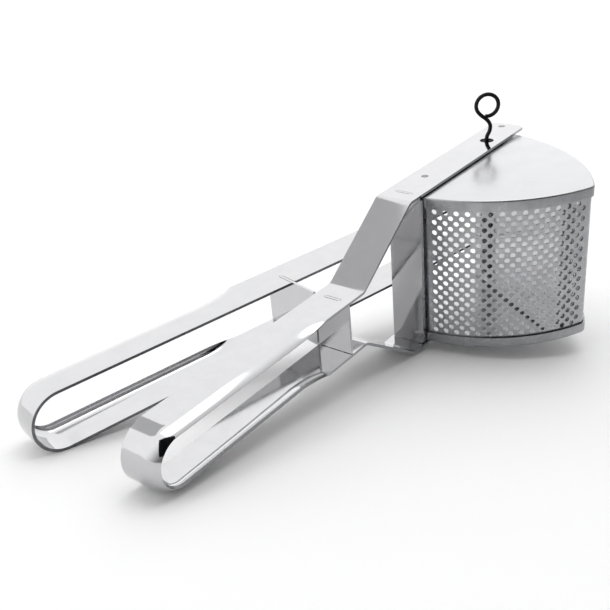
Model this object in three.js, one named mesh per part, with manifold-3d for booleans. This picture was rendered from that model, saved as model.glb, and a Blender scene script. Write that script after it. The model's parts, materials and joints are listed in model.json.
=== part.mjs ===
// Hinged V-shaped potato ricer in plated sheet steel.
// Millimetres, +Z up. The ricer lies as it does on a table, on the nose of its rear handle. The front
// nose and the heel of the lower strap stand 1 mm above that.
import * as THREE from 'three';
import { mergeVertices } from 'three/addons/utils/BufferGeometryUtils.js';
import Module from 'manifold-3d';

const wasm = await Module();
wasm.setup();

// ---------------------------------------------------------------- driving dimensions
// Tool frame: hinge pin at the origin, fixed handle towards -X, hopper towards -Y, pin along Z.
const STRAP_WIDTH = 19.5;          // flat steel strip, about 3/4 inch
const STRAP_GAUGE = 1.4;
const STRAP_OUTER = 43.3;          // outer face of the two straps over and under the hopper
const STRAP_OFFSET = 1.6;          // strap centre line, measured from the pin towards +Y
const STRAP_END = 31;              // free end of the straps, past the pin
const STRAP_CLIP = 3;              // clipped corners of that end
const HEEL_X = -95;                // bend where the straps start to slope down to the grip
const NECK_X = -138;               // bend where the slope meets the grip
const GRIP_OUTER = 14.5;           // outer face of each grip arm
const ROLL_START = -177;           // the rolled edge begins here and runs round the nose
const ROLL_RADIUS = 10.5;
const ROLL_FLAT = 1.6;             // the strip stays flat to this far past its centre line
const NOSE_X = -262;               // centre of the nose bend
const BEND_RADIUS = 5;

const HOPPER_OUTER = 41.2;         // outer face of the hopper's top and bottom plates
const HOPPER_RADIUS = 83.2;        // outer face of the front flange, from the pin
const BACK_CENTRE = new THREE.Vector2(-70.7, 11.2);   // the back wall bulges round this point
const BACK_RADIUS = 94.3;
const CORNER_RADIUS = 5;           // far corner, where the front meets the back
const HOPPER_GAUGE = 0.8;
const FLANGE_DEPTH = 5.5;
const SCREEN_GAUGE = 0.7;
const PLATE_MOUTH_Y = 8;           // open edge of the top and bottom plates, under the straps
const WALL_MOUTH_Y = -4;           // the flanges and the screen start here
const EAR_X = 29.5;                // end of the plates' ears, which follow the straps past the pin
const EAR_WIDTH = 11;

const RIVET_PLACES = [[-62, 3.3], [25.5, 3.6]];
const RIVET_RADIUS = 1.5;
const RIVET_HEAD = 2.3;

const END_PLATE_X = -86;
const END_PLATE_LIP = 2.1;         // turned edge of the end plate, towards the hopper
const SPACER_X = -150.5;
const PLATE_GAUGE = 1.4;
const TAB_WIDTH = 9;

const PIN_RADIUS = 1.1;
const PIN_HOLE = 1.5;
const STRAP_PIN_HOLE = 3.8;
const RING_RADIUS = 6.1;
const RING_HEIGHT = 20;            // ring centre above the upper strap
const RING_TURN = -50;             // the ring faces the fixed handle's side of the hopper
const PIN_TAIL = 2.2;

const LEVER_ANGLE = 12.3;          // angle between the two handles, squeezed shut
const LEVER_OFFSET = 6;            // lever centre line, from the pin
const LEVER_NOSE_X = -274;
const LEVER_ROLL_START = -181;
const LEVER_SPACER_X = -149;
const FIN_REACH = 15.7;            // stop fin, past the edge of the lever strip
const LEVER_END = 8;
const LEVER_CLIP = 22;             // length of the clipped corner at that end
const BARREL_RADIUS = 6.3;
const BARREL_WALL = 0.9;
const BARREL_HALF = 38.6;
const BUSH_LENGTH = 6;
const BLADE_REACH = 79;
const BLADE_HALF = 38.2;
const BLADE_GAUGE = 1.2;
const BLADE_ANGLE = 59;            // blade direction, from the fixed handle round to -Y, at rest
const BLADE_LIP = 7;

const GAP = 0.3;                   // clearance between pieces that touch
const THROUGH = 60;                // a cut of this half height goes through everything
const OVERLAP = 0.02;              // solids that are joined share this much

// ---------------------------------------------------------------- helpers
const rad = THREE.MathUtils.degToRad;

function toSolid(geometry) {
  const bare = geometry.index ? geometry.toNonIndexed() : geometry.clone();
  bare.deleteAttribute('normal');
  bare.deleteAttribute('uv');
  const merged = mergeVertices(bare, 1e-5);
  return new wasm.Manifold(new wasm.Mesh({
    numProp: 3,
    vertProperties: Float32Array.from(merged.attributes.position.array),
    triVerts: Uint32Array.from(merged.index.array),
  }));
}

function toGeometry(solid) {
  const mesh = solid.getMesh();
  const geometry = new THREE.BufferGeometry();
  geometry.setAttribute('position', new THREE.BufferAttribute(mesh.vertProperties, 3));
  geometry.setIndex(new THREE.BufferAttribute(mesh.triVerts, 1));
  return geometry;
}

const union = (first, ...others) => others.reduce((sum, item) => sum.add(item), first);
const cut = (body, ...tools) => tools.reduce((rest, tool) => rest.subtract(tool), body);

function box(x0, x1, y0, y1, z0, z1) {
  const geometry = new THREE.BoxGeometry(x1 - x0, y1 - y0, z1 - z0);
  return toSolid(geometry.translate((x0 + x1) / 2, (y0 + y1) / 2, (z0 + z1) / 2));
}

function rod(radius, z0, z1, x = 0, y = 0, sides = 24) {
  const geometry = new THREE.CylinderGeometry(radius, radius, z1 - z0, sides);
  return toSolid(geometry.rotateX(Math.PI / 2).translate(x, y, (z0 + z1) / 2));
}

function prism(shape, z0, z1, curveSegments = 12) {
  const geometry = new THREE.ExtrudeGeometry(shape, { depth: z1 - z0, bevelEnabled: false, curveSegments });
  return toSolid(geometry.translate(0, 0, z0));
}

// A shape drawn in X and Z, given a width along Y.
function sidePrism(shape, y0, y1, curveSegments = 6) {
  const geometry = new THREE.ExtrudeGeometry(shape, { depth: y1 - y0, bevelEnabled: false, curveSegments });
  return toSolid(geometry.rotateX(Math.PI / 2).translate(0, y1, 0));
}

// Rounds the corners of an open run of points with arcs and returns the dense run.
function roundedRun(points, radius, steps = 4) {
  const run = [points[0]];
  for (let i = 1; i < points.length - 1; i++) {
    const corner = points[i];
    const before = points[i - 1].clone().sub(corner).normalize();
    const after = points[i + 1].clone().sub(corner).normalize();
    const half = Math.acos(THREE.MathUtils.clamp(before.dot(after), -1, 1)) / 2;
    const reach = radius / Math.tan(half);
    const middle = before.clone().add(after).normalize().multiplyScalar(radius / Math.sin(half)).add(corner);
    const start = before.multiplyScalar(reach).add(corner).sub(middle);
    const end = after.multiplyScalar(reach).add(corner).sub(middle);
    const sweep = Math.atan2(start.cross(end), start.dot(end));
    for (let k = 0; k <= steps; k++) {
      run.push(start.clone().rotateAround(new THREE.Vector2(), (sweep * k) / steps).add(middle));
    }
  }
  run.push(points[points.length - 1]);
  return run;
}

// Closed outline of a strip of the given gauge that follows a run, grown to the left of it.
function stripOutline(run, gauge) {
  const inner = run.map((point, i) => {
    const before = run[Math.max(i - 1, 0)];
    const after = run[Math.min(i + 1, run.length - 1)];
    const along = after.clone().sub(before).normalize();
    return point.clone().add(new THREE.Vector2(-along.y, along.x).multiplyScalar(gauge));
  });
  return new THREE.Shape([...run, ...inner.reverse()]);
}

function addMesh(parent, name, solid, colour, roughness) {
  const material = new THREE.MeshStandardMaterial({ color: colour, roughness, metalness: 1 });
  const mesh = new THREE.Mesh(toGeometry(solid), material);
  mesh.name = name;
  parent.add(mesh);
  return mesh;
}

const PLATED = 0xd9dadc;
const SHEET = 0xc4c5c7;
const WIRE = 0x2b2b2d;

// ---------------------------------------------------------------- handle strips
// Section of a grip arm: flat on the side that faces the other handle, and rolled towards the
// inside of the loop along its outer edge, which is at -Y here.
// X is the distance inwards from the outer face, Y runs across the strip.
function gripSection() {
  const half = STRAP_WIDTH / 2;
  const roll = (half - ROLL_FLAT) / ROLL_RADIUS;
  const section = new THREE.Shape();
  section.absarc(ROLL_RADIUS, -ROLL_FLAT, ROLL_RADIUS, Math.PI + roll, Math.PI, true);
  section.lineTo(0, half);
  section.lineTo(STRAP_GAUGE, half);
  section.absarc(ROLL_RADIUS, -ROLL_FLAT, ROLL_RADIUS - STRAP_GAUGE, Math.PI, Math.PI + roll, false);
  section.closePath();
  return section;
}

// The rolled part of the strip: two straight arms and the half ring of the nose.
function rolledGrip(noseX, startX) {
  const points = gripSection().extractPoints(4).shape;
  const ringProfile = points.map((p) => new THREE.Vector2(GRIP_OUTER - p.x, p.y));
  ringProfile.push(ringProfile[0].clone());
  const ring = toSolid(new THREE.LatheGeometry(ringProfile, 28));
  const noseHalf = box(-THROUGH, OVERLAP, -THROUGH, THROUGH, -THROUGH, THROUGH);
  const nose = ring.intersect(noseHalf).translate([noseX, 0, 0]);
  const armShape = new THREE.Shape(points.map((p) => new THREE.Vector2(p.y, GRIP_OUTER - p.x)));
  const armGeometry = new THREE.ExtrudeGeometry(armShape, { depth: startX - noseX, bevelEnabled: false });
  armGeometry.rotateX(Math.PI / 2).rotateZ(Math.PI / 2).translate(noseX, 0, 0);
  const arm = toSolid(armGeometry);
  return union(nose, arm, arm.mirror([0, 0, 1]));
}

// Slot for a tab that stands across the strip.
function tabSlot(x, y) {
  const halfWidth = TAB_WIDTH / 2 + GAP;
  return box(x - GAP, x + PLATE_GAUGE + GAP, y - halfWidth, y + halfWidth, -THROUGH, THROUGH);
}

function fixedHandle() {
  const corners = [
    new THREE.Vector2(ROLL_START - OVERLAP, GRIP_OUTER),
    new THREE.Vector2(NECK_X, GRIP_OUTER),
    new THREE.Vector2(HEEL_X, STRAP_OUTER),
    new THREE.Vector2(STRAP_END, STRAP_OUTER),
  ];
  const run = roundedRun(corners, BEND_RADIUS).reverse();
  const half = STRAP_WIDTH / 2;
  const upper = sidePrism(stripOutline(run, STRAP_GAUGE), -half, half);
  const straps = union(upper, upper.mirror([0, 0, 1]));
  const body = union(straps, rolledGrip(NOSE_X, ROLL_START));
  return cut(body,
    rod(STRAP_PIN_HOLE, -THROUGH, THROUGH, 0, -STRAP_OFFSET),
    tabSlot(SPACER_X, 0), tabSlot(END_PLATE_X, 0),
    clippedCorner(STRAP_END, half, STRAP_CLIP, STRAP_CLIP),
    clippedCorner(STRAP_END, -half, STRAP_CLIP, STRAP_CLIP),
    ...rivetHoles(-STRAP_OFFSET));
}

// A wedge that cuts the corner (x, y) off a strip's end.
function clippedCorner(x, y, alongX, alongY) {
  const side = Math.sign(y);
  return prism(new THREE.Shape([
    new THREE.Vector2(x - alongX, y),
    new THREE.Vector2(x, y - side * alongY),
    new THREE.Vector2(x + 1, y + side),
  ]), -THROUGH, THROUGH);
}

// ---------------------------------------------------------------- rivets that hold straps to hopper
function rivetHoles(offset) {
  return RIVET_PLACES.map(([x, y]) => rod(RIVET_RADIUS + GAP, -THROUGH, THROUGH, x, y + offset, 16));
}

// A shank staked flush with the strap's face, with a thin head inside the hopper.
function rivet([x, y]) {
  const headGauge = 0.4;
  const under = HOPPER_OUTER - HOPPER_GAUGE - GAP;
  const profile = [
    [0, under - headGauge], [RIVET_HEAD, under - headGauge], [RIVET_HEAD, under], [RIVET_RADIUS, under],
    [RIVET_RADIUS, STRAP_OUTER], [0, STRAP_OUTER],
  ].map(([radius, z]) => new THREE.Vector2(radius, z));
  return toSolid(new THREE.LatheGeometry(profile, 14).rotateX(Math.PI / 2)).translate([x, y, 0]);
}

// ---------------------------------------------------------------- plates across the strip
// A plate that stands between two arms, with a tab staked flush in each of them.
function crossPlate(x, halfWidth, innerFace, outerFace) {
  const plate = box(x, x + PLATE_GAUGE, -halfWidth, halfWidth, -innerFace + GAP, innerFace - GAP);
  const tab = box(x, x + PLATE_GAUGE, -TAB_WIDTH / 2, TAB_WIDTH / 2, -outerFace, outerFace);
  return union(plate, tab);
}

function mouthEndPlate() {
  const half = STRAP_WIDTH / 2;
  const inner = STRAP_OUTER - STRAP_GAUGE;
  const plate = crossPlate(END_PLATE_X, half - 1, inner, STRAP_OUTER);
  const high = inner - PLATE_GAUGE;
  const lip = box(END_PLATE_X, END_PLATE_X + END_PLATE_LIP, -half, -half + PLATE_GAUGE, -high, high);
  return union(plate, lip);
}

// ---------------------------------------------------------------- hopper
// Outline of the hopper in plan, open edge at mouthY, drawn in by an inset from the flange's face.
function hopperOutline(inset, mouthY) {
  const front = HOPPER_RADIUS - inset;
  const back = BACK_RADIUS - inset;
  const fillet = CORNER_RADIUS - inset;
  // The corner arc's centre lies CORNER_RADIUS inside the front arc and inside the back arc.
  const toFront = HOPPER_RADIUS - CORNER_RADIUS;
  const toBack = BACK_RADIUS - CORNER_RADIUS;
  const apart = BACK_CENTRE.length();
  const along = (toFront ** 2 - toBack ** 2 + apart ** 2) / (2 * apart);
  const unit = BACK_CENTRE.clone().normalize();
  const across = new THREE.Vector2(-unit.y, unit.x);
  const knuckle = unit.multiplyScalar(along).addScaledVector(across, Math.sqrt(toFront ** 2 - along ** 2));
  const frontStart = Math.PI - Math.asin(mouthY / front);
  const frontEnd = Math.atan2(knuckle.y, knuckle.x);
  const backStart = knuckle.clone().sub(BACK_CENTRE).angle() - 2 * Math.PI;
  const backEnd = Math.asin((mouthY - BACK_CENTRE.y) / back);
  const shape = new THREE.Shape();
  shape.absarc(0, 0, front, frontStart, frontEnd + 2 * Math.PI, false);
  shape.absarc(knuckle.x, knuckle.y, fillet, frontEnd, backStart, false);
  shape.absarc(BACK_CENTRE.x, BACK_CENTRE.y, back, backStart, backEnd, false);
  shape.closePath();
  return shape;
}

// Top plate: flat, with an ear under the strap's end and a flange bent down round the walls.
function hopperPlate() {
  const under = HOPPER_OUTER - HOPPER_GAUGE;
  const flat = prism(hopperOutline(0, PLATE_MOUTH_Y), under, HOPPER_OUTER);
  const ear = box(0, EAR_X, PLATE_MOUTH_Y - EAR_WIDTH, PLATE_MOUTH_Y, under, HOPPER_OUTER);
  const skirt = prism(hopperOutline(0, WALL_MOUTH_Y), HOPPER_OUTER - FLANGE_DEPTH, under + OVERLAP);
  const hollow = prism(hopperOutline(HOPPER_GAUGE, WALL_MOUTH_Y + 1), 0, under);
  const body = union(flat, ear, cut(skirt, hollow));
  return cut(body, rod(PIN_HOLE, -THROUGH, THROUGH), ...rivetHoles(0));
}

// Plain bent sheet inside the flanges. It is punched all over; the holes are left to the finish.
function ricingScreen() {
  const inset = HOPPER_GAUGE + GAP;
  const high = HOPPER_OUTER - HOPPER_GAUGE - GAP;
  const outside = prism(hopperOutline(inset, WALL_MOUTH_Y), -high, high);
  const inside = prism(hopperOutline(inset + SCREEN_GAUGE, WALL_MOUTH_Y + 1), -THROUGH, THROUGH);
  return cut(outside, inside);
}

// ---------------------------------------------------------------- hinge pin
// A straight wire that turns through an S into a ring above the upper strap.
function pullPin() {
  const top = STRAP_OUTER;
  const ringZ = top + RING_HEIGHT;
  const ringStart = rad(-135);
  const ringSweep = rad(325);
  const ringPoints = 14;
  const bulge = PIN_RADIUS;
  const points = [
    [0, -top - PIN_TAIL], [0, 0], [0, top - 2], [0, top + 2], [bulge, top + 6], [bulge, top + 10],
  ].map(([x, z]) => new THREE.Vector3(x, 0, z));
  for (let k = 0; k <= ringPoints; k++) {
    const angle = ringStart - (k / ringPoints) * ringSweep;
    const x = RING_RADIUS * Math.cos(angle);
    points.push(new THREE.Vector3(x, 0, ringZ + RING_RADIUS * Math.sin(angle)));
  }
  const extrudePath = new THREE.CatmullRomCurve3(points, false, 'centripetal');
  const section = new THREE.Shape();
  section.absarc(0, 0, PIN_RADIUS, 0, 2 * Math.PI);
  return toSolid(new THREE.ExtrudeGeometry(section, { extrudePath, steps: 48, curveSegments: 4 }));
}

// ---------------------------------------------------------------- lever (moving handle)
function leverHandle() {
  const half = STRAP_WIDTH / 2;
  const armStart = LEVER_ROLL_START - OVERLAP;
  const arm = box(armStart, LEVER_END, -half, half, GRIP_OUTER - STRAP_GAUGE, GRIP_OUTER);
  const grip = rolledGrip(LEVER_NOSE_X, LEVER_ROLL_START).mirror([0, 1, 0]);
  const body = union(grip, arm, arm.mirror([0, 0, 1]));
  return cut(body,
    rod(BARREL_RADIUS + GAP, -THROUGH, THROUGH, 0, -LEVER_OFFSET, 32),
    clippedCorner(LEVER_END, half, LEVER_CLIP, half),
    leverSpacerSlot());
}

// Slit for the cross plate: it opens at the edge that faces the fixed handle.
function leverSpacerSlot() {
  const x1 = LEVER_SPACER_X + PLATE_GAUGE + GAP;
  return box(LEVER_SPACER_X - GAP, x1, -STRAP_WIDTH, GAP, -THROUGH, THROUGH);
}

// Cross plate of the lever. Its fin reaches the fixed handle and stops the squeeze.
function leverSpacer() {
  const half = STRAP_WIDTH / 2 - GAP;
  const inner = GRIP_OUTER - STRAP_GAUGE - GAP;
  const x1 = LEVER_SPACER_X + PLATE_GAUGE;
  const plate = box(LEVER_SPACER_X, x1, -half, half, -inner, inner);
  const fin = box(LEVER_SPACER_X, x1, -STRAP_WIDTH / 2 - FIN_REACH, 0, -GRIP_OUTER, GRIP_OUTER);
  return union(plate, fin);
}

function hingeBarrel() {
  const tube = rod(BARREL_RADIUS, -BARREL_HALF, BARREL_HALF, 0, 0, 32);
  return cut(tube, rod(BARREL_RADIUS - BARREL_WALL, -THROUGH, THROUGH, 0, 0, 32));
}

function barrelBush() {
  const bush = rod(BARREL_RADIUS - BARREL_WALL - GAP, BARREL_HALF - BUSH_LENGTH, BARREL_HALF);
  return cut(bush, rod(PIN_HOLE, -THROUGH, THROUGH, 0, 0, 16));
}

// The pressing blade: a flat plate with its top, bottom and outer edges turned over.
function pusherBlade() {
  const start = BARREL_RADIUS + GAP;
  const face = box(start, BLADE_REACH, 0, BLADE_GAUGE, -BLADE_HALF, BLADE_HALF);
  const lipZ = BLADE_HALF - BLADE_GAUGE;
  const lipX = BLADE_REACH - BLADE_GAUGE;
  const lipTop = box(start, BLADE_REACH, -BLADE_LIP, BLADE_GAUGE, lipZ, BLADE_HALF);
  const lipEnd = box(lipX, BLADE_REACH, -BLADE_LIP, BLADE_GAUGE, -BLADE_HALF, BLADE_HALF);
  return union(face, lipTop, lipTop.mirror([0, 0, 1]), lipEnd);
}

// ---------------------------------------------------------------- assembly
const ricer = new THREE.Group();
const tool = new THREE.Group();
ricer.add(tool);

const strapGroup = new THREE.Group();
strapGroup.position.y = STRAP_OFFSET;
tool.add(strapGroup);
addMesh(strapGroup, 'front_handle_strip', fixedHandle(), PLATED, 0.12);
addMesh(strapGroup, 'front_spacer_plate',
  crossPlate(SPACER_X, STRAP_WIDTH / 2 - 0.5, GRIP_OUTER - STRAP_GAUGE, GRIP_OUTER), PLATED, 0.2);
addMesh(strapGroup, 'mouth_end_plate', mouthEndPlate(), PLATED, 0.15);

addMesh(tool, 'hopper_top_plate', hopperPlate(), SHEET, 0.25);
addMesh(tool, 'hopper_bottom_plate', hopperPlate().mirror([0, 0, 1]), SHEET, 0.25);
addMesh(tool, 'ricing_screen', ricingScreen(), SHEET, 0.3);
RIVET_PLACES.forEach((place, i) => {
  addMesh(tool, `upper_strap_rivet_${i + 1}`, rivet(place), PLATED, 0.25);
  addMesh(tool, `lower_strap_rivet_${i + 1}`, rivet(place).mirror([0, 0, 1]), PLATED, 0.25);
});
addMesh(tool, 'hinge_pull_pin', pullPin(), WIRE, 0.35).rotation.z = rad(RING_TURN);

const lever = new THREE.Group();
lever.rotation.z = -rad(LEVER_ANGLE);
tool.add(lever);
const leverArm = new THREE.Group();
leverArm.position.y = LEVER_OFFSET;
lever.add(leverArm);
addMesh(leverArm, 'rear_handle_strip', leverHandle(), PLATED, 0.12);
addMesh(leverArm, 'rear_spacer_plate', leverSpacer(), PLATED, 0.2);
addMesh(lever, 'hinge_barrel', hingeBarrel(), PLATED, 0.2);
addMesh(lever, 'barrel_bush_upper', barrelBush(), PLATED, 0.3);
addMesh(lever, 'barrel_bush_lower', barrelBush().mirror([0, 0, 1]), PLATED, 0.3);

const blade = new THREE.Group();
blade.rotation.z = rad(180 + BLADE_ANGLE);
tool.add(blade);
addMesh(blade, 'pusher_blade', pusherBlade(), SHEET, 0.25);

// The tool lies nose down: a line that touches the front nose and the heel bend is level.
const slope = Math.atan2(STRAP_OUTER - GRIP_OUTER, HEEL_X - NECK_X);
const heelX = HEEL_X + BEND_RADIUS * Math.tan(slope / 2);
const heelZ = STRAP_OUTER - BEND_RADIUS;
const noseToHeel = Math.hypot(heelX - NOSE_X, heelZ);
const tilt = Math.atan2(heelZ, heelX - NOSE_X) - Math.asin((GRIP_OUTER - BEND_RADIUS) / noseToHeel);
tool.rotation.y = -tilt;

// The origin is on the table, under the middle of the tool's box.
const bounds = new THREE.Box3().setFromObject(ricer, true);
tool.position.set(
  -(bounds.min.x + bounds.max.x) / 2, -(bounds.min.y + bounds.max.y) / 2, -bounds.min.z);

export default ricer;
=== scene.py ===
"""Potato ricer in plated sheet steel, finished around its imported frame.

Sizes are millimetres in the tool's own frame: the hinge pin is Z, the fixed handle runs
towards -X and the hopper bulges towards -Y. tool_matrix() carries that frame to the scene.
"""
import json
import logging
import math
from dataclasses import dataclass
from enum import Enum

import bmesh
import bpy
from mathutils import Matrix, Vector


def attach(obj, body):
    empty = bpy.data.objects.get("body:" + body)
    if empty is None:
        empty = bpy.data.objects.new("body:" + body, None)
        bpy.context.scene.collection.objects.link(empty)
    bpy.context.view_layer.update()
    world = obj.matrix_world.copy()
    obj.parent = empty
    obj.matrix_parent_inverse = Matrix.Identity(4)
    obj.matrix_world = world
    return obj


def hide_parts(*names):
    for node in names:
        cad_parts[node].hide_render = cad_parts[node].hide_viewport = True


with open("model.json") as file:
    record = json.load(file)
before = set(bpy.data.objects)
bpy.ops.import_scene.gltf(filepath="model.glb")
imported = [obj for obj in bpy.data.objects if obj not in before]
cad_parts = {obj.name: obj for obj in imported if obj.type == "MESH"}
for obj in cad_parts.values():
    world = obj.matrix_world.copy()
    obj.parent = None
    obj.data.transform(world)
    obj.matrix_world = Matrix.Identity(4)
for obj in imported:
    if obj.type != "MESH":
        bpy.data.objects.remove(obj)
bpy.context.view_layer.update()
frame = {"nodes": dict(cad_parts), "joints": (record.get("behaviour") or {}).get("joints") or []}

log = logging.getLogger("potato_ricer")
MM = 0.001
EASED_ANGLE = math.radians(50)
SHARP_ANGLE = math.radians(40)


class Body(str, Enum):
    """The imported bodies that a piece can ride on."""

    FRAME = "frame"
    LEVER = "lever"
    PIN = "pin"


# ------------------------------------------------------------------ frames and bounds
def tool_matrix() -> Matrix:
    """Finds the tool's frame from the lever's hinge.

    Returns:
        The matrix from tool millimetres to scene metres.
    """
    hinge = next(j for j in frame["joints"] if j["name"] == "lever_hinge")
    up = -Vector(hinge["axis"]).normalized()
    across = Vector((0, 1, 0))
    along = across.cross(up)
    turn = Matrix((along, across, up)).transposed().to_4x4()
    return Matrix.Translation(Vector(hinge["pos_m"])) @ turn @ Matrix.Scale(MM, 4)


TOOL = tool_matrix()


def tool_box(node: str) -> tuple[Vector, Vector]:
    """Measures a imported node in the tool's frame.

    Args:
        node: The node's name.

    Returns:
        Its lowest and highest corners, in millimetres.
    """
    back = TOOL.inverted()
    points = [back @ v.co for v in frame["nodes"][node].data.vertices]
    low = Vector([min(p[i] for p in points) for i in range(3)])
    high = Vector([max(p[i] for p in points) for i in range(3)])
    return low, high


# ------------------------------------------------------------------ node materials
def linear(code: str) -> tuple[float, float, float, float]:
    """Turns an sRGB hex colour to linear.

    Args:
        code: The colour, such as "#c0c0c0".

    Returns:
        Its linear red, green, blue and alpha.
    """
    toe, slope, offset, power = 0.04045, 12.92, 0.055, 2.4
    parts = [int(code[i:i + 2], 16) / 255 for i in (1, 3, 5)]
    red, green, blue = (
        part / slope if part <= toe else ((part + offset) / (1 + offset)) ** power for part in parts)
    return red, green, blue, 1.0


def add_node(tree: bpy.types.NodeTree, kind: str, values: dict | None = None,
             links: dict | None = None, **settings: object) -> bpy.types.Node:
    """Adds a node with its settings, socket values and incoming links.

    Args:
        tree: The material's or world's node tree.
        kind: The node's type name.
        values: Socket name or index to its value.
        links: Socket name or index to the output socket that feeds it.
        settings: Attributes of the node itself.

    Returns:
        The new node.
    """
    node = tree.nodes.new(kind)
    for name, value in settings.items():
        setattr(node, name, value)
    for name, value in (values or {}).items():
        node.inputs[name].default_value = value
    for name, source in (links or {}).items():
        tree.links.new(source, node.inputs[name])
    return node


@dataclass(frozen=True)
class PlatedMetal:
    """Bright tin or nickel plate on steel: a metal mirror, dulled unevenly by handling.

    Cloudy patches vary the roughness, and fine rub marks run along the metal's own direction.
    """

    name: str
    colour: str
    shade: str
    roughness: tuple[float, float]
    cloud_mm: float
    rub_mm: float
    rub_depth_mm: float

    def build(self) -> bpy.types.Material:
        """Makes the material's nodes.

        Returns:
            The material.
        """
        material = bpy.data.materials.new(self.name)
        material.use_nodes = True
        tree = material.node_tree
        tree.nodes.clear()
        place = add_node(tree, "ShaderNodeTexCoord").outputs["Object"]
        # Cloudy patches, cloud_mm across.
        cloud = add_node(tree, "ShaderNodeTexNoise", {"Scale": 1 / (self.cloud_mm * MM), "Detail": 5.0,
                         "Roughness": 0.6}, {"Vector": place}).outputs["Fac"]
        # Rub marks rub_mm wide, drawn about 10 times as long as wide along the handles.
        stretch = add_node(tree, "ShaderNodeMapping", {"Scale": (0.1, 1.0, 1.0)}, {"Vector": place})
        rub = add_node(tree, "ShaderNodeTexNoise", {"Scale": 1 / (self.rub_mm * MM), "Detail": 3.0},
                       {"Vector": stretch.outputs[0]}).outputs["Fac"]
        gloss = add_node(tree, "ShaderNodeMapRange", {"From Min": 0.35, "From Max": 0.7,
                         "To Min": self.roughness[0], "To Max": self.roughness[1]}, {"Value": cloud})
        tone = add_node(tree, "ShaderNodeMix", {6: linear(self.colour), 7: linear(self.shade)}, {0: cloud},
                        data_type="RGBA")
        bump = add_node(tree, "ShaderNodeBump", {"Strength": 0.35, "Distance": self.rub_depth_mm * MM},
                        {"Height": rub})
        shader = add_node(tree, "ShaderNodeBsdfPrincipled", {"Metallic": 1.0},
                          {"Base Color": tone.outputs[2], "Roughness": gloss.outputs[0],
                           "Normal": bump.outputs[0]})
        add_node(tree, "ShaderNodeOutputMaterial", links={"Surface": shader.outputs[0]})
        return material


# Nickel-bright rolled strip: near mirror, clouds 9 mm, rub marks 0.35 mm wide.
STRIP = PlatedMetal("bright_plated_strip", "#c9c9ca", "#bebec0", (0.05, 0.12), 9.0, 0.35, 0.012)
# The strip's edges on the fixed handle: the lit copy of the edge finish, clouds 2 mm.
BRIGHT_EDGE = PlatedMetal("lit_strip_edge", "#b4b5b7", "#9a9b9e", (0.15, 0.30), 2.0, 0.3, 0.02)
# The lever's edges: the same edge finish painted darker, as painted shade, clouds 2 mm.
SHADED_EDGE = PlatedMetal("edge_painted_shade", "#77787b", "#5a5b5e", (0.25, 0.40), 2.0, 0.3, 0.02)
# Tinplate sheet: softer reflections, with faint clouds 14 mm across.
SHEET = PlatedMetal("tinplate_sheet", "#c9c9cb", "#c2c3c5", (0.22, 0.28), 14.0, 0.5, 0.005)
# The same sheet on the flanges and folds, painted darker as painted shade where they turn from the top,
# with darker cloudy blotches, clouds 6 mm.
SHADED_FLANGE = PlatedMetal("flange_painted_shade", "#adaeb0", "#8a8b8e", (0.24, 0.40), 6.0, 0.5, 0.02)
# Punched tinplate: satin between the holes, clouds 7 mm.
PUNCHED = PlatedMetal("punched_tinplate", "#b2b3b5", "#939497", (0.22, 0.38), 7.0, 0.5, 0.02)
# Staked steel heads, dulled by the tool that set them, clouds 1.5 mm.
STAKED = PlatedMetal("staked_steel", "#9b9c9f", "#6d6e72", (0.22, 0.40), 1.5, 0.3, 0.02)
# Blackened spring steel wire: oxide skin with a low shine, clouds 1 mm.
WIRE = PlatedMetal("blackened_spring_wire", "#38383a", "#1d1d1f", (0.28, 0.42), 1.0, 0.25, 0.015)


class Dresser:
    """Builds each finish once and hands it out."""

    def __init__(self) -> None:
        """Starts with no finish built."""
        self.made: dict[str, bpy.types.Material] = {}

    def material(self, finish: PlatedMetal) -> bpy.types.Material:
        """Returns the finish's material, built on first use."""
        if finish.name not in self.made:
            self.made[finish.name] = finish.build()
        return self.made[finish.name]

    def packed(self, finish: PlatedMetal, *nodes: str) -> None:
        """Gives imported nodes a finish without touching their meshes.

        Args:
            finish: The finish to use.
            nodes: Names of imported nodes.
        """
        for node in nodes:
            materials = frame["nodes"][node].data.materials
            materials.clear()
            materials.append(self.material(finish))
            log.info("dressed %s in %s", node, finish.name)

    def piece(self, name: str, bm: bmesh.types.BMesh, finish: PlatedMetal,
              place: Matrix = TOOL) -> bpy.types.Object:
        """Turns a bmesh in tool millimetres to a finished object at the origin.

        Args:
            name: The piece's name.
            bm: The mesh, which is freed.
            finish: Its finish.
            place: Matrix from the mesh's frame to the scene.

        Returns:
            The object.
        """
        bm.transform(place)
        mesh = bpy.data.meshes.new(name)
        bm.to_mesh(mesh)
        bm.free()
        mesh.shade_smooth()
        mesh.materials.append(self.material(finish))
        piece = bpy.data.objects.new(name, mesh)
        bpy.context.scene.collection.objects.link(piece)
        return piece


def seat(piece: bpy.types.Object, body: Body, slot: str, *nodes: str) -> None:
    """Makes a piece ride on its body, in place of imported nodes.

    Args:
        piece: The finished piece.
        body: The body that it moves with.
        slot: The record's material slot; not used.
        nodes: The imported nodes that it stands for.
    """
    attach(piece, body.value)
    if nodes:
        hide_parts(*nodes)
    log.info("made %s on %s", piece.name, body.value)


def thicken(piece: bpy.types.Object, gauge_mm: float, edge_mm: float) -> None:
    """Gives a sheet its thickness, inwards, and eases its cut edges.

    Args:
        piece: The sheet, with its faces pointing out.
        gauge_mm: Sheet thickness.
        edge_mm: Width of the eased edges.
    """
    wall = piece.modifiers.new("gauge", "SOLIDIFY")
    wall.thickness = gauge_mm * MM
    wall.offset = -1
    ease = piece.modifiers.new("eased_edges", "BEVEL")
    ease.width = edge_mm * MM
    ease.segments = 2
    ease.limit_method = "ANGLE"
    ease.angle_limit = EASED_ANGLE
    ease.harden_normals = True


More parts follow.
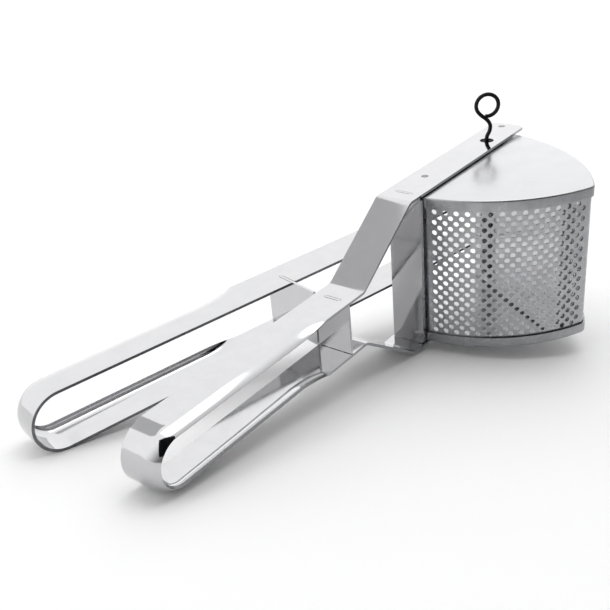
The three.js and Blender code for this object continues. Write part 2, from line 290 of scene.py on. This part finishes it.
def settle(piece: bpy.types.Object) -> None:
    """Applies a piece's modifiers and keeps its cut edges sharp."""
    finished = piece.evaluated_get(bpy.context.evaluated_depsgraph_get())
    mesh = bpy.data.meshes.new_from_object(finished)
    piece.modifiers.clear()
    piece.data = mesh
    mesh.set_sharp_from_angle(angle=SHARP_ANGLE)


def corners(geometry: list) -> list[bmesh.types.BMVert]:
    """The vertices among an operator's output."""
    return [item for item in geometry if isinstance(item, bmesh.types.BMVert)]


def everything(bm: bmesh.types.BMesh) -> list:
    """All vertices, edges and faces of a bmesh."""
    return bm.verts[:] + bm.edges[:] + bm.faces[:]


def middle_of(edge: bmesh.types.BMEdge) -> Vector:
    """The middle point of an edge."""
    return (edge.verts[0].co + edge.verts[1].co) / 2


def face_out(bm: bmesh.types.BMesh, inside: Vector) -> None:
    """Turns an open sheet over if its faces point at the given inside point."""
    bm.normal_update()
    lean = sum(f.normal.dot(f.calc_center_median() - inside) * f.calc_area() for f in bm.faces)
    if lean < 0:
        bmesh.ops.reverse_faces(bm, faces=bm.faces[:])


# ------------------------------------------------------------------ bent routes
@dataclass(frozen=True)
class Leg:
    """A straight leg of a route, or an arc that turns left by a positive angle."""

    length: float
    turn: float = 0.0


@dataclass(frozen=True)
class Route:
    """A plane run of straights and arcs that a sheet's outer face follows."""

    start: tuple[float, float]
    heading: float
    legs: tuple[Leg, ...]

    @property
    def length(self) -> float:
        """The whole length, in millimetres."""
        return sum(leg.length for leg in self.legs)

    def at(self, distance: float) -> tuple[Vector, Vector]:
        """Follows the route.

        Args:
            distance: Millimetres from its start.

        Returns:
            The point there and the unit normal to its left.
        """
        point, heading = Vector(self.start), self.heading
        for leg in self.legs:
            step = min(distance, leg.length)
            if leg.turn:
                curve = leg.turn / leg.length
                after = heading + curve * step
                chord = Vector((math.sin(after) - math.sin(heading), math.cos(heading) - math.cos(after)))
                point += chord / curve
                heading = after
            else:
                point += Vector((math.cos(heading), math.sin(heading))) * step
            distance -= step
            if distance <= 0:
                break
        return point, Vector((-math.sin(heading), math.cos(heading)))


def punch(bm: bmesh.types.BMesh, centre: Vector, half: Vector, squareness: float) -> None:
    """Punches a round or slot-shaped hole in a flat gridded blank.

    Args:
        bm: The blank, in the plane of X and Y.
        centre: The hole's centre.
        half: Its half sizes along X and Y.
        squareness: 2 for an ellipse, more for a squarer slot.
    """
    def reach(offset: Vector) -> float:
        """How far out an offset lies, 1 on the hole's edge."""
        parts = abs(offset.x / half.x) ** squareness + abs(offset.y / half.y) ** squareness
        return parts ** (1 / squareness)

    cut = [f for f in bm.faces if reach(f.calc_center_median() - centre) < 1]
    rim = {v for f in cut for v in f.verts}
    bmesh.ops.delete(bm, geom=cut, context="FACES")
    for vert in rim:
        if vert.is_valid:
            offset = vert.co - centre
            vert.co = centre + offset / reach(offset)


def pierce(bm: bmesh.types.BMesh, radius: float, height: float, margin: float = 0.8) -> None:
    """Makes a round hole on the hinge axis in a flat face.

    Args:
        bm: The sheet.
        radius: The hole's radius.
        height: The face's height on the axis.
        margin: Width of the square of sheet that is remade round the hole.
    """
    cell = radius + margin
    for way in (Vector((1, 0, 0)), Vector((0, 1, 0))):
        for side in (-cell, cell):
            bmesh.ops.bisect_plane(bm, geom=everything(bm), dist=1e-4, plane_co=way * side, plane_no=way)
    middles = {f: f.calc_center_median() for f in bm.faces}
    inner = [f for f, at in middles.items()
             if max(abs(at.x), abs(at.y)) < cell and abs(at.z - height) < 0.1]
    border = {e for f in inner for e in f.edges}
    bmesh.ops.delete(bm, geom=inner, context="FACES_ONLY")
    lift = Matrix.Translation((0, 0, height))
    ring = bmesh.ops.create_circle(bm, segments=20, radius=radius, matrix=lift)["verts"]
    border |= {e for v in ring for e in v.link_edges}
    bmesh.ops.bridge_loops(bm, edges=list(border))


# ------------------------------------------------------------------ handles
@dataclass(frozen=True)
class GripSection:
    """How a flat strip is rolled over along its outer edge for the grip."""

    side: int
    strip_half: float = 9.75
    flat: float = 1.6
    radius: float = 10.5

    def place(self, across: float, formed: float) -> tuple[float, float]:
        """Rolls one point of the section.

        Args:
            across: The point's distance from the centre line of the flat strip.
            formed: 0 where the roll starts at the edge, 1 where it has its full width.

        Returns:
            Its distance from the centre line, and its depth inwards.
        """
        if formed <= 0:
            return across, 0.0
        reach = (self.strip_half - self.flat) * math.sqrt(1 - (1 - min(formed, 1.0)) ** 2)
        crease = self.strip_half - reach
        spare = across * self.side - crease
        if spare <= 0:
            return across, 0.0
        angle = spare / self.radius
        return self.side * (crease + self.radius * math.sin(angle)), self.radius * (1 - math.cos(angle))


@dataclass
class LoopHandle:
    """A handle bent from one strip: two arms that meet in a round nose."""

    name: str
    body: Body
    node: str
    route: Route
    centre_y: float
    turn: float
    section: GripSection
    edge: PlatedMetal
    roll_start: float
    holes: tuple[tuple[float, float, float, float, float], ...]
    clips: tuple[tuple[float, float, float], ...]
    roll_length: float = 22.0
    gauge: float = 1.4
    eased: float = 0.15
    blank_grid: tuple[int, int] = (640, 24)

    def blank(self) -> bmesh.types.BMesh:
        """Cuts the flat blank, with its holes, slots and clipped corners.

        Returns:
            The blank, its length along X from 0.
        """
        length = self.route.length
        bm = bmesh.new()
        half_size = Matrix.Diagonal((length, self.section.strip_half, 1, 1))
        spread = Matrix.Translation((length, 0, 0)) @ half_size
        bmesh.ops.create_grid(bm, x_segments=self.blank_grid[0], y_segments=self.blank_grid[1], size=1.0,
                              matrix=spread)
        for distance, across, half_x, half_y, squareness in self.holes:
            for mirrored in (distance, 2 * length - distance):
                punch(bm, Vector((mirrored, across, 0)), Vector((half_x, half_y, 1)), squareness)
        for side, along, deep in self.clips:
            for end in (0.0, 2 * length):
                inwards = 1 if end == 0 else -1
                corner = Vector((end + inwards * along, side * self.section.strip_half, 0))
                out = Vector((-inwards * deep, side * along, 0))
                bmesh.ops.bisect_plane(bm, geom=everything(bm), dist=1e-4, plane_co=corner, plane_no=out,
                                       clear_outer=True)
        return bm

    def build(self, dresser: Dresser) -> None:
        """Rolls and bends the blank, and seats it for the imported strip.

        Args:
            dresser: Hands out the finishes.
        """
        bm = self.blank()
        length = self.route.length
        for vert in bm.verts:
            lower = vert.co.x > length
            distance = 2 * length - vert.co.x if lower else vert.co.x
            formed = (distance - self.roll_start) / self.roll_length
            across, depth = self.section.place(vert.co.y, formed)
            point, inwards = self.route.at(distance)
            place = point + inwards * depth
            vert.co = Vector((place.x, self.centre_y + across, -place.y if lower else place.y))
        face_out(bm, Vector((self.route.start[0] - length / 2, self.centre_y, 0)))
        swing = Matrix.Rotation(self.turn, 4, "Z")
        piece = dresser.piece(self.name, bm, STRIP, TOOL @ swing)
        piece.data.materials.append(dresser.material(self.edge))
        thicken(piece, self.gauge, self.eased)
        piece.modifiers["gauge"].material_offset_rim = 1
        seat(piece, self.body, "plated_strip", self.node)


GRIP_OUTER = 14.5
LEVER_ANGLE = math.radians(12.3)


def fixed_handle() -> LoopHandle:
    """Sizes the fixed handle from its packed strip.

    Returns:
        The handle with its straps.
    """
    low, high = tool_box("front_handle_strip")
    bend, heel_x, neck_x, nose_x = 5.0, -95.0, -138.0, low.x + GRIP_OUTER
    rise, run = high.z - GRIP_OUTER, heel_x - neck_x
    slope = math.atan2(rise, run)
    trim = bend * math.tan(slope / 2)
    route = Route((high.x, high.z), math.pi, (
        Leg(high.x - heel_x - trim), Leg(bend * slope, slope), Leg(math.hypot(rise, run) - 2 * trim),
        Leg(bend * slope, -slope), Leg(neck_x - nose_x - trim),
        Leg(GRIP_OUTER * math.pi / 2, math.pi / 2)))
    grip_end = route.length - GRIP_OUTER * math.pi / 2
    strap_y, pin_hole, stake_hole, roll_reach = 1.6, 3.8, 1.8, 94.0
    stakes = ((-62.0, 3.3), (25.5, 3.6))
    end_tab_x, spacer_tab_x, tab_slot = -85.3, -149.8, (1.0, 4.8, 6.0)
    # The fixed handle's edges get the lit copy of the edge finish.
    return LoopHandle(
        "fixed_handle_strip", Body.FRAME, "front_handle_strip", route, strap_y, 0.0,
        GripSection(side=-1), BRIGHT_EDGE, roll_start=grip_end - roll_reach,
        holes=((high.x, -strap_y, pin_hole, pin_hole, 2.0),
               *((high.x - x, y - strap_y, stake_hole, stake_hole, 2.0) for x, y in stakes),
               (high.x - end_tab_x, 0.0, *tab_slot),
               (grip_end - (spacer_tab_x - nose_x), 0.0, *tab_slot)),
        clips=((1, 3.0, 3.0), (-1, 3.0, 3.0)))


def lever_handle() -> LoopHandle:
    """Sizes the moving handle.

    Returns:
        The handle, turned to its rest angle.
    """
    end_x, nose_x, offset, barrel_hole, roll_reach = 8.0, -274.0, 6.0, 6.6, 102.0
    spacer_x, spacer_y, spacer_slot = -148.3, -5.0, (1.0, 5.4, 6.0)
    grip_end = end_x - nose_x
    route = Route((end_x, GRIP_OUTER), math.pi, (
        Leg(grip_end), Leg(GRIP_OUTER * math.pi / 2, math.pi / 2)))
    # The lever's edges are painted darker than the fixed handle's, as painted shade.
    return LoopHandle(
        "moving_handle_strip", Body.LEVER, "rear_handle_strip", route, offset, -LEVER_ANGLE,
        GripSection(side=1), SHADED_EDGE, roll_start=grip_end - roll_reach,
        holes=((end_x, -offset, barrel_hole, barrel_hole, 2.0),
               (end_x - spacer_x, spacer_y, *spacer_slot)),
        clips=((1, 22.0, 9.75),))


# ------------------------------------------------------------------ hopper
@dataclass(frozen=True)
class Hopper:
    """The wedge-shaped hopper: flanged plates above and below a punched wall."""

    outer: float = 41.2
    radius: float = 83.2
    back_x: float = -70.7
    back_y: float = 11.2
    back_radius: float = 94.3
    corner: float = 5.0
    wall_y: float = -4.0
    plate_y: float = 8.0
    ear_x: float = 29.5
    ear_y: float = -3.0
    flange: float = 5.5
    gauge: float = 0.8
    fold: float = 0.9
    eased: float = 0.15
    outline_steps: int = 150
    screen_gauge: float = 0.7
    seam: float = 1.1
    hole: float = 1.4
    pin_hole: float = 1.5
    pitch: float = 5.6
    hole_sides: int = 12
    rows: int = 7
    columns: int = 28
    first_column_deg: float = 9.0
    mouth_margin: float = 9.0
    folds: int = 10
    weld: float = 0.02
    flat_enough: float = 0.97

    @property
    def inside(self) -> Vector:
        """A point in the hopper's hollow."""
        return Vector((-30.0, -30.0, 0.0))

    def knuckle(self) -> Vector:
        """Centre of the far corner's arc."""
        to_front, to_back = self.radius - self.corner, self.back_radius - self.corner
        centre = Vector((self.back_x, self.back_y))
        apart = centre.length
        along = (to_front ** 2 - to_back ** 2 + apart ** 2) / (2 * apart)
        unit = centre / apart
        return unit * along + Vector((-unit.y, unit.x)) * math.sqrt(to_front ** 2 - along ** 2)

    def route(self, inset: float, mouth_y: float) -> tuple[Route, float]:
        """Finds the wall's route in plan, from the front of the mouth round to the back.

        Args:
            inset: Distance inside the flange's outer face.
            mouth_y: Where the wall starts and ends.

        Returns:
            The route, and the length of its front arc.
        """
        front, back, fillet = (size - inset for size in (self.radius, self.back_radius, self.corner))
        knuckle = self.knuckle()
        start = math.pi - math.asin(mouth_y / front)
        front_end = math.atan2(knuckle.y, knuckle.x) + math.tau
        back_start = math.atan2(knuckle.y - self.back_y, knuckle.x - self.back_x) + math.tau
        back_end = math.asin((mouth_y - self.back_y) / back) + math.tau
        turns = (front_end - start, back_start - front_end, back_end - back_start)
        legs = tuple(Leg(radius * turn, turn) for radius, turn in zip((front, fillet, back), turns))
        point = (front * math.cos(start), front * math.sin(start))
        return Route(point, start + math.pi / 2, legs), legs[0].length

    def plate(self, upper: bool) -> bmesh.types.BMesh:
        """Bends a plate's flange down round the walls.

        Args:
            upper: True for the top plate, False for the bottom one.

        Returns:
            The plate's outer face.
        """
        bm = bmesh.new()
        whole, _ = self.route(0.0, self.plate_y)
        walls, _ = self.route(0.0, self.wall_y)
        steps = self.outline_steps
        first = bm.verts.new((*whole.start, self.outer))
        edge_from = first
        wall_edges = []
        spots = [walls.at(walls.length * i / steps)[0] for i in range(steps + 1)]
        ends = [Vector((self.ear_x, self.ear_y)), Vector((self.ear_x, self.plate_y))]
        foot = walls.at(walls.length)[0] + Vector((0.0, -self.wall_y + self.ear_y))
        for i, spot in enumerate([*spots, foot, *ends]):
            made = bmesh.ops.extrude_vert_indiv(bm, verts=[edge_from])
            target = made["verts"][0]
            target.co = Vector((spot.x, spot.y, self.outer))
            if 0 < i <= steps:
                wall_edges.append(made["edges"][0])
            edge_from = target
        bm.edges.new((edge_from, first))
        bmesh.ops.contextual_create(bm, geom=bm.edges[:])
        lowered = corners(bmesh.ops.extrude_edge_only(bm, edges=wall_edges)["geom"])
        bmesh.ops.translate(bm, verts=lowered, vec=(0, 0, -self.flange))
        bmesh.ops.bevel(bm, geom=wall_edges, offset=self.fold, affect="EDGES", segments=4, profile=0.5,
                        material=-1)
        pierce(bm, self.pin_hole, self.outer)
        if not upper:
            bmesh.ops.scale(bm, verts=bm.verts[:], vec=(1, 1, -1))
        face_out(bm, self.inside)
        return bm

    def field(self) -> bmesh.types.BMesh:
        """Punches one wall's field of holes in a flat blank, at 45 degrees.

        Returns:
            The field, its first column at X = 0, with a zigzag border.
        """
        half, rows = self.pitch / 2, self.rows
        bm = bmesh.new()
        ring = bmesh.ops.create_circle(bm, segments=self.hole_sides, radius=self.hole)["verts"]
        hole_edges = list({e for v in ring for e in v.link_edges})
        for edge in hole_edges:
            edge.seam = True
        grown = bmesh.ops.extrude_edge_only(bm, edges=hole_edges)["geom"]
        for edge in (g for g in grown if isinstance(g, bmesh.types.BMEdge)):
            edge.seam = False
        for vert in corners(grown):
            vert.co *= half / (abs(vert.co.x) + abs(vert.co.y))
        bmesh.ops.spin(bm, geom=everything(bm), axis=(0, 0, 1), cent=(0, 0, 0), dvec=(0, self.pitch, 0),
                       angle=0.0, steps=2 * rows - 2, use_duplicate=True)
        bmesh.ops.translate(bm, verts=bm.verts[:], vec=(0, -(rows - 1) * self.pitch, 0))
        shifted = bmesh.ops.duplicate(bm, geom=everything(bm))["geom"]
        bmesh.ops.translate(bm, verts=corners(shifted), vec=(half, half, 0))
        top = (rows - 1) * self.pitch + half
        middles = {f: f.calc_center_median() for f in bm.faces}
        spare = [f for f, spot in middles.items() if abs(spot.x - half) + abs(spot.y - top) < half]
        bmesh.ops.delete(bm, geom=spare, context="FACES")
        bmesh.ops.spin(bm, geom=everything(bm), axis=(0, 0, 1), cent=(0, 0, 0), dvec=(self.pitch, 0, 0),
                       angle=0.0, steps=self.columns // 2 - 1, use_duplicate=True)
        bmesh.ops.remove_doubles(bm, verts=bm.verts[:], dist=self.weld)
        return bm

    def wall(self, start: float, mouth: float, middle: float, side: int) -> bpy.types.Mesh:
        """Grows plain margins round one wall's field of holes.

        Args:
            start: Place of the first column along the screen's route.
            mouth: Place of the wall's end at the hopper's mouth.
            middle: Place where the two walls meet.
            side: 1 if the columns follow the route, -1 if they run against it.

        Returns:
            The wall's flat blank, with X along the route.
        """
        blank = self.field()
        high = self.outer - self.seam
        top = (self.rows - 1) * self.pitch
        last = (self.columns - 1) * self.pitch / 2
        rim = [e for e in blank.edges if e.is_boundary and not e.seam and abs(middle_of(e).y) > top]
        for vert in corners(bmesh.ops.extrude_edge_only(blank, edges=rim)["geom"]):
            vert.co.y = math.copysign(high, vert.co.y)
        for first_end in (True, False):
            edges = [e for e in blank.edges if e.is_boundary and not e.seam
                     and not all(abs(abs(v.co.y) - high) < 1e-3 for v in e.verts)
                     and (middle_of(e).x < last / 2) == first_end]
            goal = ((mouth if first_end else middle) - start) * side
            for vert in corners(bmesh.ops.extrude_edge_only(blank, edges=edges)["geom"]):
                vert.co.x = goal
        bmesh.ops.scale(blank, verts=blank.verts[:], vec=(side, 1, 1))
        bmesh.ops.translate(blank, verts=blank.verts[:], vec=(start, 0, 0))
        mesh = bpy.data.meshes.new("wall_blank")
        blank.to_mesh(mesh)
        blank.free()
        return mesh

    def screen(self) -> bmesh.types.BMesh:
        """Joins the two walls' blanks and bends them round the hopper.

        Returns:
            The screen's outer face.
        """
        route, front_length = self.route(self.seam, self.wall_y)
        fold_length = route.legs[1].length
        radius = self.radius - self.seam
        front_start = (math.radians(self.first_column_deg) - math.asin(-self.wall_y / radius)) * radius
        back_start = route.length - self.mouth_margin
        sheet = bmesh.new()
        for start, mouth, side in ((front_start, 0.0, 1), (back_start, route.length, -1)):
            mesh = self.wall(start, mouth, front_length + fold_length / 2, side)
            sheet.from_mesh(mesh)
            bpy.data.meshes.remove(mesh)
        bmesh.ops.remove_doubles(sheet, verts=sheet.verts[:], dist=self.weld)
        bmesh.ops.recalc_face_normals(sheet, faces=sheet.faces[:])
        for i in range(self.folds + 1):
            at = front_length + fold_length * i / self.folds
            bmesh.ops.bisect_plane(sheet, geom=everything(sheet), dist=1e-3, plane_co=(at, 0, 0),
                                   plane_no=(1, 0, 0))
        for vert in sheet.verts:
            point, _ = route.at(vert.co.x)
            vert.co = Vector((point.x, point.y, vert.co.y))
        face_out(sheet, self.inside)
        return sheet

    def build_plates(self, dresser: Dresser) -> None:
        """Seats the top and bottom plates: flat faces in the sheet finish, sides and folds painted darker
        as painted shade.

        Args:
            dresser: Hands out the finishes.
        """
        pin_axis = TOOL.to_3x3().col[2].normalized()
        for upper, word in ((True, "top"), (False, "bottom")):
            piece = dresser.piece(f"hopper_{word}", self.plate(upper), SHEET)
            piece.data.materials.append(dresser.material(SHADED_FLANGE))
            # Faces not square to the pin (sides and folds) get the darker flange finish, as painted shade.
            for polygon in piece.data.polygons:
                polygon.material_index = int(abs(polygon.normal.dot(pin_axis)) < self.flat_enough)
            thicken(piece, self.gauge, self.eased)
            seat(piece, Body.FRAME, "hopper_sheet", f"hopper_{word}_plate")

    def build_screen(self, dresser: Dresser) -> None:
        """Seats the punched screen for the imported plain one.

        Args:
            dresser: Hands out the finishes.
        """
        piece = dresser.piece("punched_screen", self.screen(), PUNCHED)
        gauge = piece.modifiers.new("gauge", "SOLIDIFY")
        gauge.thickness = self.screen_gauge * MM
        gauge.offset = -1
        settle(piece)
        seat(piece, Body.FRAME, "punched_sheet", "ricing_screen")


# ------------------------------------------------------------------ hinge pin
@dataclass(frozen=True)
class PullPin:
    """A straight wire that turns through an S into a ring above the upper strap."""

    radius: float = 1.1
    ring: float = 6.1
    ring_height: float = 20.0
    tail: float = 2.2
    swing: float = -50.0
    ring_start: float = -135.0
    ring_sweep: float = 325.0

    def build(self, dresser: Dresser) -> None:
        """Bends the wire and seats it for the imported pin.

        Args:
            dresser: Hands out the finishes.
        """
        top = tool_box("front_handle_strip")[1].z
        centre = top + self.ring_height
        # Straight through both straps, then a bulge to one side on the way up to the ring.
        stem = [(0, -top - self.tail), (0, 0), (0, top - 2), (0, top + 2), (1.6, top + 6), (1.5, top + 9.5)]
        steps = 18
        angles = [math.radians(self.ring_start - self.ring_sweep * i / steps) for i in range(steps + 1)]
        loop = [(self.ring * math.cos(a), centre + self.ring * math.sin(a)) for a in angles]
        curve = bpy.data.curves.new("hinge_pin_wire", "CURVE")
        curve.dimensions = "3D"
        curve.bevel_depth = self.radius * MM
        curve.bevel_resolution = 6
        curve.use_fill_caps = True
        spline = curve.splines.new("BEZIER")
        spline.resolution_u = 8
        spline.bezier_points.add(len(stem + loop) - 1)
        turned = TOOL @ Matrix.Rotation(math.radians(self.swing), 4, "Z")
        for knot, (x, z) in zip(spline.bezier_points, stem + loop):
            knot.co = turned @ Vector((x, 0, z))
            knot.handle_left_type = knot.handle_right_type = "AUTO"
        curve.materials.append(dresser.material(WIRE))
        piece = bpy.data.objects.new("hinge_pin_wire", curve)
        bpy.context.scene.collection.objects.link(piece)
        seat(piece, Body.PIN, "dark_wire", "hinge_pull_pin")


# ------------------------------------------------------------------ studio
@dataclass(frozen=True)
class Card:
    """A plain card, seen from the object along a direction. Sizes are metres."""

    name: str
    direction: tuple[float, float, float]
    size: tuple[float, float]
    tone: str
    distance: float = 1.25


@dataclass(frozen=True)
class Studio:
    """A plain pale floor, soft white surroundings and two cards for the metal to mirror.

    Places and sizes are metres. The camera is placed from the hinge pin.
    """

    from_pin: tuple[float, float, float] = (-0.4706, -0.2242, 0.1354)
    azimuth: float = -53.0
    elevation: float = 20.95
    roll: float = 1.12
    lens: float = 53.3
    bright_side: tuple[float, float, float] = (0.0, 0.81, 0.59)
    floor_fade: tuple[float, float] = (-0.20, -0.34)
    floor_half: float = 6.0
    cards: tuple[Card, ...] = (
        Card("dark_card_over_camera", (-0.42, -0.60, 0.68), (1.3, 1.3), "#0c0d10"),
        Card("grey_card_behind", (-0.08, 0.60, 0.76), (0.85, 0.42), "#ececee"))
    lamp_place: tuple[float, float, float] = (0.2, -0.1, 1.8)
    lamp_size: float = 1.2
    lamp_power: float = 5.5

    def camera(self) -> None:
        """Stands the camera."""
        data = bpy.data.cameras.new("camera")
        data.lens = self.lens
        data.sensor_width = 36.0
        camera = bpy.data.objects.new("camera", data)
        bpy.context.scene.collection.objects.link(camera)
        around, up = math.radians(self.azimuth), math.radians(90 - self.elevation)
        turn = Matrix.Rotation(around, 4, "Z") @ Matrix.Rotation(up, 4, "X")
        turn = turn @ Matrix.Rotation(math.radians(self.roll), 4, "Z")
        camera.matrix_world = Matrix.Translation(TOOL.translation + Vector(self.from_pin)) @ turn
        bpy.context.scene.camera = camera

    def stand(self, card: Card) -> None:
        """Stands a card so that it faces the object.

        Args:
            card: The card.
        """
        bm = bmesh.new()
        aim = Vector(card.direction).normalized()
        turn = aim.to_track_quat("Z", "Y").to_matrix().to_4x4()
        spread = Matrix.Diagonal((card.size[0] / 2, card.size[1] / 2, 1, 1))
        place = Matrix.Translation(aim * card.distance) @ turn @ spread
        bmesh.ops.create_grid(bm, x_segments=1, y_segments=1, size=1.0, matrix=place)
        self.stage(card.name, bm, card.tone)

    def stage(self, name: str, bm: bmesh.types.BMesh, tone: str) -> bpy.types.Material:
        """Makes a matt stage object.

        Args:
            name: The object's name.
            bm: Its mesh in metres, which is freed.
            tone: Its sRGB colour.

        Returns:
            Its material.
        """
        mesh = bpy.data.meshes.new(name)
        bm.to_mesh(mesh)
        bm.free()
        material = bpy.data.materials.new(name + "_paper")
        material.use_nodes = True
        shader = material.node_tree.nodes["Principled BSDF"]
        shader.inputs["Base Color"].default_value = linear(tone)
        shader.inputs["Roughness"].default_value = 0.9
        shader.inputs["Specular IOR Level"].default_value = 0.1
        mesh.materials.append(material)
        thing = bpy.data.objects.new(name, mesh)
        bpy.context.scene.collection.objects.link(thing)
        return material

    def surroundings(self) -> bpy.types.World:
        """Makes white surroundings that fall to grey on the side the hopper bulges to.

        Returns:
            The world.
        """
        world = bpy.data.worlds.new("white_surroundings")
        world.use_nodes = True
        tree = world.node_tree
        tree.nodes.clear()
        way = add_node(tree, "ShaderNodeTexCoord").outputs["Generated"]
        lean = add_node(tree, "ShaderNodeVectorMath", {1: self.bright_side}, {0: way},
                        operation="DOT_PRODUCT")
        light = add_node(tree, "ShaderNodeMapRange", {"From Min": -0.55, "From Max": 0.55, "To Min": 0.20,
                         "To Max": 1.42}, {"Value": lean.outputs["Value"]}, interpolation_type="SMOOTHSTEP")
        shine = add_node(tree, "ShaderNodeBackground", {"Color": linear("#ffffff")},
                         {"Strength": light.outputs[0]})
        add_node(tree, "ShaderNodeOutputWorld", links={"Surface": shine.outputs[0]})
        return world

    def shade_floor(self, paper: bpy.types.Material) -> None:
        """Lets the white floor fall to pale grey in front of the hopper.

        Args:
            paper: The floor's material.
        """
        tree = paper.node_tree
        place = add_node(tree, "ShaderNodeTexCoord").outputs["Object"]
        parts = add_node(tree, "ShaderNodeSeparateXYZ", links={0: place})
        near, far = self.floor_fade
        fade = add_node(tree, "ShaderNodeMapRange", {"From Min": far, "From Max": near},
                        {"Value": parts.outputs[1]}, interpolation_type="SMOOTHSTEP")
        tone = add_node(tree, "ShaderNodeMix", {6: linear("#d2d2d3"), 7: linear("#f9f9f9")},
                        {0: fade.outputs[0]}, data_type="RGBA")
        tree.links.new(tone.outputs[2], tree.nodes["Principled BSDF"].inputs["Base Color"])

    def build(self) -> None:
        """Sets the floor, the cards, the lights and the surroundings."""
        scene = bpy.context.scene
        scene.view_settings.view_transform = "Standard"
        scene.world = self.surroundings()
        floor = bmesh.new()
        bmesh.ops.create_grid(floor, x_segments=1, y_segments=1, size=self.floor_half)
        self.shade_floor(self.stage("floor", floor, "#f7f7f7"))
        for card in self.cards:
            self.stand(card)
        lamp = bpy.data.lights.new("overhead_softbox", "AREA")
        lamp.shape = "SQUARE"
        lamp.size = self.lamp_size
        lamp.energy = self.lamp_power
        light = bpy.data.objects.new("overhead_softbox", lamp)
        light.location = self.lamp_place
        scene.collection.objects.link(light)
        self.camera()


# ------------------------------------------------------------------ build
def main() -> None:
    """Builds the ricer and its studio, in order."""
    logging.basicConfig(level=logging.INFO)
    dresser = Dresser()
    hopper = Hopper()
    Studio().build()
    fixed_handle().build(dresser)
    lever_handle().build(dresser)
    hopper.build_plates(dresser)
    hopper.build_screen(dresser)
    PullPin().build(dresser)
    dresser.packed(STRIP, "front_spacer_plate", "mouth_end_plate", "rear_spacer_plate", "hinge_barrel")
    dresser.packed(SHEET, "pusher_blade", "barrel_bush_upper", "barrel_bush_lower")
    dresser.packed(STAKED, "upper_strap_rivet_1", "upper_strap_rivet_2", "lower_strap_rivet_1",
                   "lower_strap_rivet_2")


if __name__ == "__main__":
    main()
